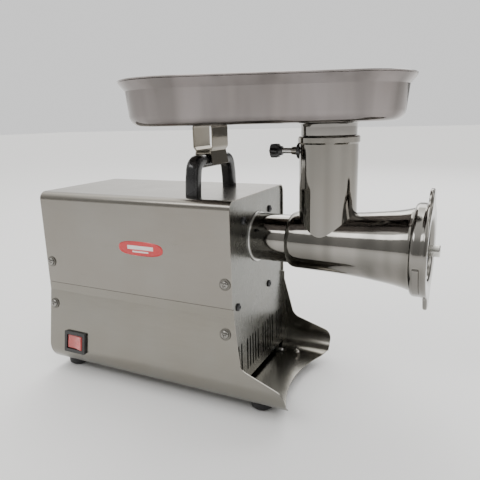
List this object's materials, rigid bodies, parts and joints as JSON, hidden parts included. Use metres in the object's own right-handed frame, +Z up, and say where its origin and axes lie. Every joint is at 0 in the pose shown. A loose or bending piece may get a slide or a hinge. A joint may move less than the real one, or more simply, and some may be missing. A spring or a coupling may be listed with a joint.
{
  "type": "electric meat grinder",
  "caption": "Electric meat grinder with a sheet steel body, a polished horizontal grinding head with an upright throat, and a rounded feed tray on top.",
  "frame": {"origin": "centre of the bottom of the object's box, on the table under the feet", "axes": "+X from the rear of the body to the outlet, +Z up, near side with the switch towards -Y"},
  "size_m": [0.455, 0.2364, 0.3407],
  "materials": {
    "cover_steel": "polished sheet",
    "base_steel": "polished sheet",
    "panel_steel": "satin sheet",
    "rear_steel": "satin sheet",
    "side_screw_steel": "bright zinc",
    "washer_steel": "bright zinc",
    "badge": "satin",
    "feet_rubber": "matte",
    "foot_bolt_steel": "bright zinc",
    "dome_nut_steel": "bright",
    "tab_screw_steel": "bright zinc",
    "panel_bolt_black": "blackened",
    "switch_black": "satin",
    "rocker_red": "gloss",
    "handle_black": "satin",
    "handle_screw_steel": "bright zinc",
    "support_steel": "polished",
    "gland_black": "satin",
    "gland_nut_black": "satin",
    "head_polished": "mirror polished casting",
    "pin_steel": "ground",
    "bush_brass": "turned",
    "plate_steel": "ground",
    "ring_polished": "mirror polished casting",
    "worm_steel": "polished casting",
    "knife_steel": "ground",
    "output_shaft_steel": "turned",
    "output_gear_steel": "hobbed",
    "output_bearing_steel": "ground",
    "seal_rubber": "moulded",
    "intermediate_shaft_steel": "turned",
    "intermediate_gear_steel": "hobbed",
    "intermediate_bearing_steel": "ground",
    "gearbox_aluminium": "as cast",
    "gearbox_cover_aluminium": "as cast",
    "gearbox_screw_steel": "bright zinc",
    "stator_iron": "laminated",
    "winding_copper": "varnished copper",
    "front_bell_aluminium": "as cast",
    "rear_bell_aluminium": "as cast",
    "motor_shaft_steel": "ground",
    "rotor_iron": "turned",
    "motor_bearing_steel": "ground",
    "fan_plastic": "moulded",
    "tie_bolt_steel": "bright zinc",
    "cradle_steel": "zinc plated",
    "cradle_screw_steel": "bright zinc",
    "capacitor_white": "moulded",
    "clip_steel": "spring steel",
    "terminal_white": "moulded",
    "tray_steel": "polished pressing",
    "spout_steel": "polished",
    "tray_knob_black": "moulded",
    "tray_stud_steel": "bright zinc",
    "head_knob_black": "moulded",
    "head_stud_steel": "bright zinc"
  },
  "bodies": {
    "body": {"top_cover": "cover_steel", "base_tray": "base_steel", "front_panel": "panel_steel", "rear_panel": "rear_steel", "side_screws": "side_screw_steel", "side_washers": "washer_steel", "badge_plate": "badge", "rubber_feet": "feet_rubber", "foot_bolts": "foot_bolt_steel", "dome_nuts": "dome_nut_steel", "tab_screws": "tab_screw_steel", "panel_bolts": "panel_bolt_black", "switch_housing": "switch_black", "carry_handle": "handle_black", "handle_screws": "handle_screw_steel", "tray_support": "support_steel", "cable_gland": "gland_black", "gland_nut": "gland_nut_black", "head_barrel": "head_polished", "plate_pin": "pin_steel", "worm_bush": "bush_brass", "hole_plate": "plate_steel", "output_bearings": "output_bearing_steel", "oil_seal": "seal_rubber", "intermediate_bearings": "intermediate_bearing_steel", "gearbox_case": "gearbox_aluminium", "gearbox_cover": "gearbox_cover_aluminium", "gearbox_screws": "gearbox_screw_steel", "motor_stator": "stator_iron", "stator_windings": "winding_copper", "motor_front_bell": "front_bell_aluminium", "motor_rear_bell": "rear_bell_aluminium", "motor_bearings": "motor_bearing_steel", "motor_tie_bolts": "tie_bolt_steel", "motor_cradle": "cradle_steel", "cradle_screws": "cradle_screw_steel", "run_capacitor": "capacitor_white", "capacitor_clip": "clip_steel", "terminal_block": "terminal_white"},
    "output": {"output_shaft": "output_shaft_steel", "output_gear": "output_gear_steel", "feed_worm": "worm_steel", "cutting_knife": "knife_steel"},
    "intermediate": {"intermediate_pinion_shaft": "intermediate_shaft_steel", "intermediate_gear": "intermediate_gear_steel"},
    "rotor": {"motor_shaft": "motor_shaft_steel", "motor_rotor": "rotor_iron", "cooling_fan": "fan_plastic"},
    "rocker": {"switch_rocker": "rocker_red"},
    "ring": {"ring_nut": "ring_polished"},
    "tray": {"feed_tray": "tray_steel", "tray_spout": "spout_steel"},
    "tray_lock": {"tray_lock_knob": "tray_knob_black", "tray_lock_stud": "tray_stud_steel"},
    "head_lock": {"head_lock_knob": "head_knob_black", "head_lock_stud": "head_stud_steel"}
  },
  "joints": [
    {"name": "output_spin", "type": "hinge", "parent": "body", "child": "output", "pos_m": [0.1161, 0.0236, 0.176], "axis": [1, 0, 0], "continuous": true},
    {"name": "intermediate_spin", "type": "hinge", "parent": "body", "child": "intermediate", "pos_m": [-0.0465, 0.0036, 0.13347], "axis": [1, 0, 0], "continuous": true},
    {"name": "motor_spin", "type": "hinge", "parent": "body", "child": "rotor", "pos_m": [-0.1365, 0.0236, 0.09569], "axis": [1, 0, 0], "continuous": true},
    {"name": "switch_rock", "type": "hinge", "parent": "body", "child": "rocker", "pos_m": [-0.1738, -0.05714, 0.04328], "axis": [0, 0.1588, 0.9873], "range_deg": [0, 16]},
    {"name": "ring_turn", "type": "hinge", "parent": "body", "child": "ring", "pos_m": [0.2032, 0.0236, 0.176], "axis": [1, 0, 0], "range_deg": [0, 360]},
    {"name": "tray_lock_turn", "type": "hinge", "parent": "body", "child": "tray_lock", "pos_m": [0.0865, 0.0236, 0.2708], "axis": [-1, 0, 0], "range_deg": [0, 720]},
    {"name": "head_lock_turn", "type": "hinge", "parent": "body", "child": "head_lock", "pos_m": [0.0155, 0.0966, 0.176], "axis": [0, 1, 0], "range_deg": [0, 720]},
    {"name": "tray_lift", "type": "slide", "parent": "body", "child": "tray", "axis": [0, 0, 1], "range_m": [0, 0.06]}
  ],
  "couplings": [
    {"joint": "intermediate_spin", "follows": "output_spin", "ratio": -2.3571},
    {"joint": "motor_spin", "follows": "output_spin", "ratio": 6.6}
  ]
}
